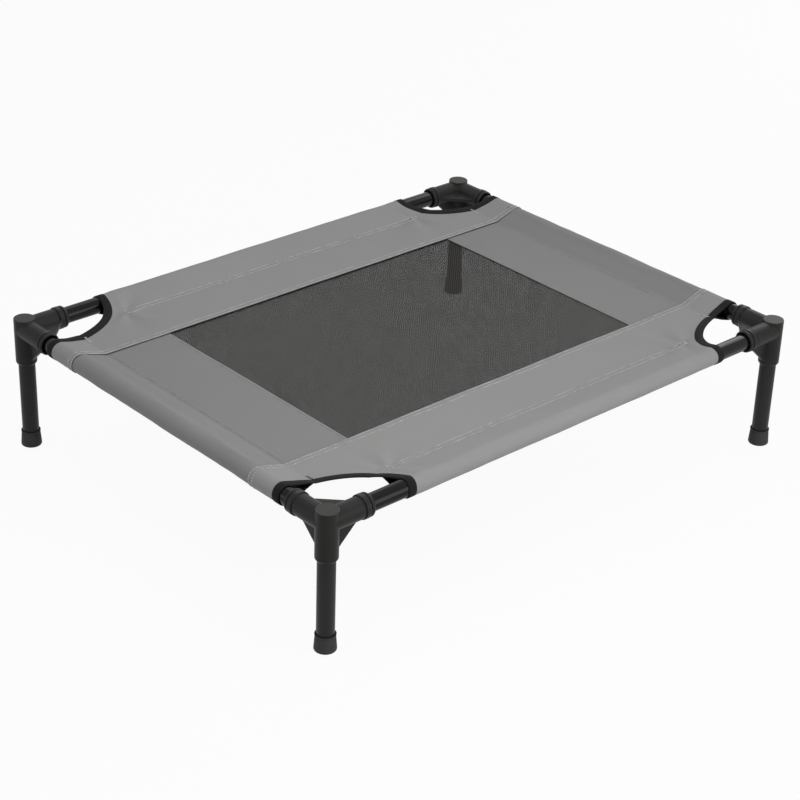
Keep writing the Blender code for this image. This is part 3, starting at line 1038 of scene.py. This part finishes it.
def side_panel(name, side):
    wraps = [HALF_X - distance for distance in wrap_sleeve.stations(ROLL_STEP, ALLOWANCE)]
    flat = spread(-(HALF_X - SEAM), HALF_X - SEAM, FLAT_STEP)
    columns = [-x for x in reversed(wraps)] + flat + wraps
    sleeve = side_sleeve.stations(ROLL_STEP, ALLOWANCE)[::-1]
    rows = sleeve + spread(SEAM, SIDE_REACH, SIDE_STEP) + hem_stations(SIDE_REACH)
    if side > 0:
        rows.reverse()
    cloth = laid_cloth("side_cloth_" + name, columns, rows, lambda x, v: side_point(x, v, side),
                       clear_of_cutouts, SIDE_CLOTH)
    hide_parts("side_panel_" + name)
    return cloth


def end_panel(name, end):
    sleeve = end_sleeve.stations(ROLL_STEP, ALLOWANCE)[::-1]
    columns = sleeve + spread(SEAM, END_REACH, FLAT_STEP) + hem_stations(END_REACH)
    if end > 0:
        columns.reverse()
    half = HALF_Y - SIDE_REACH + HEM_FOLD - END_MARGIN
    rows = spread(-half, half, FLAT_STEP)
    cloth = laid_cloth("end_cloth_" + name, columns, rows, lambda u, y: end_point(u, y, end),
                       lambda across, along: True, END_CLOTH)
    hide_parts("end_panel_" + name)
    return cloth


side_cloths = {name: side_panel(name, side) for name, side in SIDES.items()}
end_cloths = {name: end_panel(name, end) for name, end in ENDS.items()}
print("panels:", [len(cloth.data.polygons) for cloth in (*side_cloths.values(), *end_cloths.values())])

# %% [markdown]
# ## Binding the cut-outs
# A black tape is folded over the cover's edge at each corner. It is one long strip: from the seam under the
# long rail's sleeve, out and round the tube, across the concave cut-out and round the other tube back to
# its seam. Its section is a flat band with a rounded inner edge, where it is folded.

# %% The tape's section and its way round a corner
TAPE_HALF = 0.85 * MM
TAPE_FACE = SIDE_FACE - CLOTH / 2
TAPE_STEP = 2.4 * MM
TAPE_FLAT_STEPS = 26


def tape_section():
    """The closed section: share across the band from its inner to its outer edge, and height."""
    outline = [(0.0, 0.0), (0.025, 0.72), (0.09, 1.0), (0.5, 1.04), (0.93, 1.0), (1.0, 0.55)]
    return outline + [(share, -height) for share, height in reversed(outline[1:])] + [outline[0]]


tape_sleeves = {kind: Sleeve(sleeve.radius - CLOTH / 2, TAPE_FACE, CLOTH / 2)
                for kind, sleeve in (("long", side_sleeve), ("short", wrap_sleeve))}


def tape_middle(step, share):
    """A point in the tape's middle layer, in distances from the corner's two rails' axes and their height."""
    reach_long = CUT_LONG - TAPE_WIDTH * (1 - share)
    reach_short = CUT_SHORT - TAPE_WIDTH * (1 - share)
    kind, value = step
    if kind == "long":
        place, _ = tape_sleeves[kind].at(value)
        u = reach_long * math.sqrt(1 - (tape_sleeves[kind].cut_span(value) / reach_short) ** 2)
        return Vector((u, place.x, place.y + edge_lift(u, place.x)))
    if kind == "short":
        place, _ = tape_sleeves[kind].at(value)
        v = reach_short * math.sqrt(1 - (tape_sleeves[kind].cut_span(value) / reach_long) ** 2)
        return Vector((place.x, v, place.y + edge_lift(place.x, v)))
    first = math.asin(SEAM / reach_short)
    last = math.acos(SEAM / reach_long)
    angle = first + (last - first) * value
    u = reach_long * math.cos(angle)
    v = reach_short * math.sin(angle)
    return Vector((u, v, TAPE_FACE + edge_lift(u, v)))


def tape_steps():
    """The steps along a tape: round the long rail, over the flat cut-out and round the short rail."""
    round_rail = {kind: [SEAM] + sleeve.stations(TAPE_STEP) for kind, sleeve in tape_sleeves.items()}
    long_part = [("long", value) for value in reversed(round_rail["long"])]
    flat_part = [("flat", (i + 1) / TAPE_FLAT_STEPS) for i in range(TAPE_FLAT_STEPS - 1)]
    short_part = [("short", value) for value in round_rail["short"]]
    return long_part + flat_part + short_part


print("tape sections along a corner:", len(tape_steps()))

# %% [markdown]
# ## Sewing the tape on
# The strip is a grid as well, and its short side is the tape's section. Merging the section's two ends
# closes it into a solid band. The same strip serves all four corners, because its places are distances from
# a corner's two rails.

# %% Bind the four corners


def at_corner(corner, u, v, rise):
    """A place in the bed, from distances inwards of a corner's two rails' axes and a rise above them."""
    side_x, side_y, _ = CORNERS[corner]
    return Vector((side_x * (HALF_X - u), side_y * (HALF_Y - v), RAIL_Z + rise))


def binding(corner):
    steps = tape_steps()
    section = tape_section()
    middles = [[tape_middle(step, share) for share in (0.0, 0.5, 1.0)] for step in steps]
    travelled = [0.0]
    for before, after in zip(middles, middles[1:]):
        travelled.append(travelled[-1] + (after[1] - before[1]).length)
    shape, grid = stepped_grid(len(steps) - 1, len(section) - 1)
    map_cloth(shape, {vert: (travelled[i], section[j][0] * TAPE_WIDTH) for vert, (i, j) in grid.items()})
    for vert, (i, j) in grid.items():
        share, height = section[j]
        inner, _, outer = middles[i]
        forward = middles[min(i + 1, len(steps) - 1)][1] - middles[max(i - 1, 0)][1]
        up = (outer - inner).cross(forward).normalized()
        vert.co = at_corner(corner, *(tape_middle(steps[i], share) - up * height * TAPE_HALF))
    bmesh.ops.remove_doubles(shape, verts=shape.verts, dist=SAME_PLACE)
    bmesh.ops.holes_fill(shape, edges=[edge for edge in shape.edges if edge.is_boundary], sides=0)
    bmesh.ops.recalc_face_normals(shape, faces=shape.faces)
    tape = make_piece("tape_" + corner, shape, TAPE)
    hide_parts("corner_binding_" + corner)
    return tape


tapes = {corner: binding(corner) for corner in CORNERS}
print("tape faces:", [len(tape.data.polygons) for tape in tapes.values()])

# %% [markdown]
# ## Weaving the mesh
# The middle is an open plain weave of flat plastic-coated yarns, about two millimetres apart, which keeps
# the bed cool. At this size the holes are real: you can see through them. Each yarn is a narrow grid with a
# low crown, which rises over one neighbour and dips under the next. Each direction is a piece of its own,
# because it takes nearly the 200,000 triangles that one piece may have. Where the mesh is lapped under the
# panels, its edge is sealed, with the yarns pressed wide, so there are no holes.

# %% Weave warp and weft
YARN_PITCH = 1.91 * MM
YARN_WIDTH = 1.49 * MM
YARN_WAVE = 0.17 * MM
YARN_CROWN = 0.10 * MM
MESH_Z = RAIL_Z - 1.95 * MM
MESH_HALF_X = HALF_X - END_REACH + HEM_FOLD
MESH_HALF_Y = HALF_Y - SIDE_REACH + HEM_FOLD


def yarn_layer(name, half_across, half_along, swap, material):
    """Parallel yarns: swap says whether they run along Y, and their waves start the other way round."""
    count = round(2 * half_across / YARN_PITCH)
    crossings = round(2 * half_along / YARN_PITCH)
    shape, steps = stepped_grid(crossings + 1, 3 * count)
    gaps = [face for face in shape.faces if min(steps[vert][1] for vert in face.verts) % 3 == 2]
    bmesh.ops.delete(shape, geom=gaps, context="FACES")
    for vert in shape.verts:
        i, j = steps[vert]
        yarn, lane = divmod(j, 3)
        crossing = min(1.0, max(0.0, (i - 0.5) / crossings))
        along = (crossing * 2 - 1) * half_along
        centre = ((yarn + 0.5) / count * 2 - 1) * half_across
        sealed = max(abs(centre) - half_across, abs(along) - half_along) > -HEM_FOLD
        across = centre + (lane - 1) * (YARN_PITCH if sealed else YARN_WIDTH) / 2
        wave = YARN_WAVE if (i + yarn + swap) % 2 else -YARN_WAVE
        height = MESH_Z + wave + (YARN_CROWN if lane == 1 else 0.0)
        vert.co = (across, along, height) if swap else (along, across, height)
    if swap:
        bmesh.ops.reverse_faces(shape, faces=shape.faces)
    return make_piece(name, shape, material)


mesh_weft = yarn_layer("mesh_weft", MESH_HALF_Y, MESH_HALF_X, 0, WEFT_YARN)
mesh_warp = yarn_layer("mesh_warp", MESH_HALF_X, MESH_HALF_Y, 1, WARP_YARN)
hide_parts("mesh_panel")
print("yarn faces:", len(mesh_weft.data.polygons), len(mesh_warp.data.polygons))

# %% [markdown]
# ## Sewing
# A stitch is a stretched little ball, partly sunk in the cloth. A row of them walks along the cut pattern,
# so it climbs the sleeves as the real seam does, and wanders a little to both sides.

# %% One stitch and a row of them
STITCH = 2.9 * MM
STITCH_GAP = 0.5 * MM
THREAD = 0.45 * MM
THREAD_LIFT = 0.25
THREAD_SPREAD = 1.15
WANDER = 0.7 * MM


def stitch_pattern():
    """The little ball that every stitch is a stretched copy of."""
    ball = bmesh.new()
    bmesh.ops.create_uvsphere(ball, u_segments=6, v_segments=4, radius=1.0)
    return as_mesh("stitch_pattern", ball)


STITCH_BALL = stitch_pattern()


def add_stitch(shape, start, end, out, thread=THREAD):
    """One stitch from start to end, lying on the face that looks towards out."""
    run = end - start
    side = out.cross(run).normalized()
    out = run.cross(side).normalized()
    turn = Matrix((run.normalized(), side, out)).transposed().to_4x4()
    place = Matrix.Translation((start + end) / 2 + out * thread * THREAD_LIFT) @ turn
    stretched = place @ Matrix.Diagonal((run.length / 2, thread * THREAD_SPREAD, thread, 1.0))
    shape.from_mesh(STITCH_BALL)
    shape.verts.ensure_lookup_table()
    for vert in shape.verts[-len(STITCH_BALL.vertices):]:
        vert.co = stretched @ vert.co


def sew(shape, point, begin, finish):
    """A row of stitches on a surface, between two places of its pattern; point lays a place and its depth."""
    begin = Vector(begin)
    finish = Vector(finish)
    pace = STITCH + STITCH_GAP
    count = max(1, int((finish - begin).length / pace))
    along = (finish - begin).normalized()
    aside = Vector((-along.y, along.x)) * WANDER
    for i in range(count):
        first = begin + along * (i * pace + STITCH_GAP / 2)
        first += aside * noise.noise(Vector((first.x * 70, first.y * 70, 1.7)))
        last = first + along * STITCH
        half = ((first.x + last.x) / 2, (first.y + last.y) / 2)
        out = point(*half, -1 * MM) - point(*half, 0.0)
        add_stitch(shape, point(*first, 0.0), point(*last, 0.0), out.normalized())


print("faces of a stitch:", len(STITCH_BALL.polygons))

# %% [markdown]
# ## The rows on the panels
# The seams show as rows of pale stitches: two rows a quarter of an inch apart at each long sleeve and each
# long hem, and single rows at the end panels. Where a long sleeve's rows end, the last stitches run back
# beside them, and a zigzag locks the right end, which was sewn last.

# %% Sew the panels
RUN_BACK = 14 * MM
RUN_ASIDE = 0.5 * MM
LOCK_CORNERS = 7
LOCK_START = 7 * MM
LOCK_PACE = 1.9 * MM
LOCK_EDGE = 1 * MM
LOCK_SPAN = GAUGE + 1.5 * MM
LOCK_LIFT = 0.2 * MM
LOCK_THREAD = 0.3 * MM
HEM_SEWN = 0.9
UP = Vector((0, 0, 1))


def lock(shape, point):
    """The zigzag that finishes a long sleeve's two rows, at its right end."""
    corners = [(SLEEVE_END - LOCK_START + i * LOCK_PACE, SLEEVE_ROW - LOCK_EDGE + (i % 2) * LOCK_SPAN)
               for i in range(LOCK_CORNERS)]
    for start, end in zip(corners, corners[1:]):
        add_stitch(shape, point(*start, -LOCK_LIFT), point(*end, -LOCK_LIFT), UP, LOCK_THREAD)


def sew_side_panel(shape, side):
    """The sleeve's two rows, run back at both ends and locked at one, and the hem's two rows."""
    def on_side(along, across, depth):
        return side_point(along, across, side, depth)

    for row in SIDE_ROWS[:2]:
        sew(shape, on_side, (-SLEEVE_END, row), (SLEEVE_END, row))
        beside = row + RUN_ASIDE
        for end in ENDS.values():
            sew(shape, on_side, (end * SLEEVE_END, beside), (end * (SLEEVE_END - RUN_BACK), beside))
    lock(shape, on_side)
    reach = HALF_X - SEAM + wrap_sleeve.climb + wrap_sleeve.arc + wrap_sleeve.back * HEM_SEWN
    for row in SIDE_ROWS[2:]:
        sew(shape, on_side, (-reach, row), (reach, row))


def sew_end_panel(shape, end):
    """The sleeve's row and the hem's, from one side panel to the other."""
    def on_end(across, along, depth):
        return end_point(across, along, end, depth)

    half = HALF_Y - SIDE_REACH - END_MARGIN
    for row in END_ROWS:
        sew(shape, on_end, (row, -half), (row, half))


threads = {name: bmesh.new() for name in (*SIDES, *ENDS)}
for name, side in SIDES.items():
    sew_side_panel(threads[name], side)
for name, end in ENDS.items():
    sew_end_panel(threads[name], end)
print("stitches:", {name: len(shape.verts) // len(STITCH_BALL.vertices) for name, shape in threads.items()})

# %% [markdown]
# ## Bar tacks and the tape's own seam
# At the end of every short sleeve the seam is locked with a bar tack, a dense little zigzag that crosses
# onto the tape. It takes the pull of the whole cover, and its pale thread is the small mark beside a corner:
# only the front left one is sewn in black. The tape has a black seam of its own too, near its outer edge.

# %% Lock the sleeves and sew the tape
TACK_STITCHES = 9
TACK_REACH = 14 * MM
TACK_WIDTH = 4.2 * MM
TACK_INSET = 1 * MM
TACK_ON_TAPE = 4 * MM
TACK_THREAD = 0.32 * MM
ABOVE_TAPE = 0.75 * MM
ABOVE_CLOTH = 0.12 * MM
TAPE_ROW = 0.84
TAPE_THREAD = 0.22 * MM
TAPE_UNSEWN = 4


def tack(shape, corner):
    """A zigzag across the tape's outer edge, in line with the short sleeve's seam."""
    edge = CUT_SHORT * math.sqrt(1 - (SEAM / CUT_LONG) ** 2)
    places = []
    for i in range(TACK_STITCHES + 1):
        u = SEAM + TACK_INSET + (TACK_WIDTH if i % 2 else 0.0)
        v = edge - TACK_ON_TAPE + TACK_REACH * i / TACK_STITCHES
        rise = SIDE_FACE + edge_lift(u, v) + (ABOVE_TAPE if v < edge else ABOVE_CLOTH)
        places.append(at_corner(corner, u, v, rise))
    for start, end in zip(places, places[1:]):
        add_stitch(shape, start, end, UP, TACK_THREAD)


def sew_tape(shape, corner):
    """One stitch in each step of a tape, except for the first and the last few, underneath."""
    side_x, side_y, _ = CORNERS[corner]
    steps = tape_steps()[TAPE_UNSEWN:1 - TAPE_UNSEWN]
    for step, next_step in zip(steps, steps[1:]):
        here = tape_middle(step, TAPE_ROW)
        there = tape_middle(next_step, TAPE_ROW)
        across = tape_middle(step, 1.0) - tape_middle(step, 0.5)
        up = (there - here).cross(across).normalized()
        start = here.lerp(there, 0.15) + up * TAPE_HALF
        end = here.lerp(there, 0.9) + up * TAPE_HALF
        add_stitch(shape, at_corner(corner, *start), at_corner(corner, *end),
                   Vector((side_x * -up.x, side_y * -up.y, up.z)), TAPE_THREAD)


tape_threads = bmesh.new()
for corner in CORNERS:
    side_name = corner.split("_")[0]
    tack(tape_threads if corner == "front_left" else threads[side_name], corner)
    sew_tape(tape_threads, corner)
for name, shape in threads.items():
    thread = GREY_THREAD if name in SIDES else SLATE_THREAD
    make_piece("seams_" + name, shape, thread)
make_piece("seams_tape", tape_threads, BLACK_THREAD)

# %% [markdown]
# ## The panels' cut sizes
# The panels' cut sizes are worked out here, and printed. The panels are cut with their sleeves, hems and
# turns, and the corners are cut away from the side panels: each takes most of a rectangle, but not all of
# it, because its edge is curved. Of the mesh's own rectangle, only the share that its yarns fill is cloth.

CORNER_SHARE = 0.9

sleeve_cut = side_sleeve.girth + ALLOWANCE
side_cut = (SIDE_REACH - SEAM + sleeve_cut + HEM_FOLD, 2 * (HALF_X - SEAM + sleeve_cut))
end_cut = (END_REACH - SEAM + sleeve_cut + HEM_FOLD, 2 * (HALF_Y - SIDE_REACH + HEM_FOLD))
corner_cut = (CUT_SHORT - SEAM + sleeve_cut) * (CUT_LONG - SEAM + sleeve_cut) * CORNER_SHARE
for name, cloth in side_cloths.items():
    side_cut[0] * side_cut[1] - 2 * corner_cut
    "long_tube_" + name
for name, cloth in end_cloths.items():
    "short_tube_" + name
tape_line = [tape_middle(step, 0.5) for step in tape_steps()]
for corner, tape in tapes.items():
    side_name = corner.split("_")[0]
    "side_cloth_" + side_name
print("side panel cut:", [round(value, 3) for value in side_cut])
print("end panel cut:", [round(value, 3) for value in end_cut])

# %% [markdown]
# ## The studio
# The photograph has a white background. The floor is plain white: to the camera it shows mostly its own
# colour, so that it stays white to the edge of the frame, and still keeps a soft shadow. Glossy and
# transmitted rays see the white as well, so that a shiny tube shows the same studio. For all other rays the
# world is a faint, even light from all round.

# %% Floor and world
FLOOR_HALF = 12.0
FLOOR_DROP = 0.2 * MM
WORLD_LIGHT = 0.26


def seen_itself(wiring):
    """1 for the rays that show the studio, directly or in a shine, and 0 for those that light the bed."""
    camera, glossy, passing = (wiring.add("ShaderNodeLightPath", output=ray)
                               for ray in ("Is Camera Ray", "Is Glossy Ray", "Is Transmission Ray"))
    return camera.most(glossy).most(passing)


def pale_floor():
    finish = Finish("studio_floor")
    finish.set("Base Color", grey(0.86))
    finish.set("Roughness", 0.9)
    white = finish.add("ShaderNodeEmission", {}, {"Color": grey(1.0), "Strength": 1.0})
    own = Wire(finish, finish.shader.outputs[0])
    mixed = finish.add("ShaderNodeMixShader", {}, {0: seen_itself(finish) * 0.94, 1: own, 2: white})
    finish.feed(finish.tree.nodes["Material Output"].inputs["Surface"], mixed)
    return finish.material


def studio_world(strength):
    world = bpy.data.worlds.new("studio")
    bpy.context.scene.world = world
    world.use_nodes = True
    wiring = Wiring(world.node_tree)
    level = wiring.add("ShaderNodeMapRange", {},
                       {"Value": seen_itself(wiring), "To Min": strength, "To Max": 1.0})
    background = wiring.tree.nodes["Background"]
    wiring.feed(background.inputs["Color"], grey(1.0))
    wiring.feed(background.inputs["Strength"], level)


floor_shape = bmesh.new()
bmesh.ops.create_grid(floor_shape, x_segments=1, y_segments=1, size=FLOOR_HALF)
floor_mesh = as_mesh("studio_floor", floor_shape)
floor_mesh.materials.append(pale_floor())
floor = as_object("studio_floor", floor_mesh)
floor.location.z = -FLOOR_DROP
studio_world(WORLD_LIGHT)
print("floor", 2 * FLOOR_HALF, "m wide, and a world light of", WORLD_LIGHT)

# %% [markdown]
# ## The lamps
# The photograph's light is soft. A large lamp in front and a smaller one above the bed give the cloth its
# level, and three others fill in from the left, the right and the back.

# %% Lamps
BED_MIDDLE = (0, 0, 0.16)


def soft_lamp(name, location, target, size, power):
    data = bpy.data.lights.new(name, "AREA")
    data.shape = "DISK"
    data.size = size
    data.energy = power
    aim = (Vector(target) - Vector(location)).to_track_quat("-Z", "Y")
    as_object(name, data).matrix_world = Matrix.Translation(location) @ aim.to_matrix().to_4x4()


soft_lamp("top_lamp", (-0.28, -0.52, 1.18), (-0.1, -0.12, 0.16), 0.8, 6.0)
soft_lamp("front_lamp", (0.5, -2.9, 1.0), BED_MIDDLE, 2.2, 32)
soft_lamp("left_lamp", (-2.5, 0.5, 0.4), BED_MIDDLE, 1.8, 9)
soft_lamp("right_lamp", (2.3, 0.5, 1.25), BED_MIDDLE, 1.6, 14)
soft_lamp("back_lamp", (0.16, 0.7, 1.0), (0, 0.1, 0.16), 0.6, 1.0)
bpy.context.scene.view_settings.view_transform = "Standard"
print("studio lit")

# %% [markdown]
# ## The camera
# The photograph's camera was found by fitting the tops of the four posts and the feet. It looks down by
# about 28 degrees across the front left corner, from 2.6 metres away. The picture plane is turned by two
# degrees, and the aim is a few centimetres below the bed's middle.

# %% Set the camera
CAMERA_TURN = math.radians(-42.62)
CAMERA_RISE = math.radians(28.259)
CAMERA_ROLL = math.radians(1.944)
CAMERA_DISTANCE = 2.6154
CAMERA_AIM = Vector((0, 0, 0.1))
AIM_RIGHT = -0.00169
AIM_UP = -0.03322
LENS = 92.85

back = Vector((math.sin(CAMERA_TURN) * math.cos(CAMERA_RISE), -math.cos(CAMERA_TURN) * math.cos(CAMERA_RISE),
               math.sin(CAMERA_RISE)))
level_right = Vector((math.cos(CAMERA_TURN), math.sin(CAMERA_TURN), 0))
level_up = back.cross(level_right)
right = level_right * math.cos(CAMERA_ROLL) + level_up * math.sin(CAMERA_ROLL)
up = level_up * math.cos(CAMERA_ROLL) - level_right * math.sin(CAMERA_ROLL)
view = Matrix((right, up, back)).transposed().to_4x4()
view.translation = CAMERA_AIM + back * CAMERA_DISTANCE + right * AIM_RIGHT + up * AIM_UP
camera_data = bpy.data.cameras.new("photograph_camera")
camera_data.sensor_width = 36
camera_data.lens = LENS
camera_data.clip_start = 0.05
camera = as_object("photograph_camera", camera_data)
camera.matrix_world = view
bpy.context.scene.camera = camera
print("camera at", [round(value, 3) for value in view.translation])
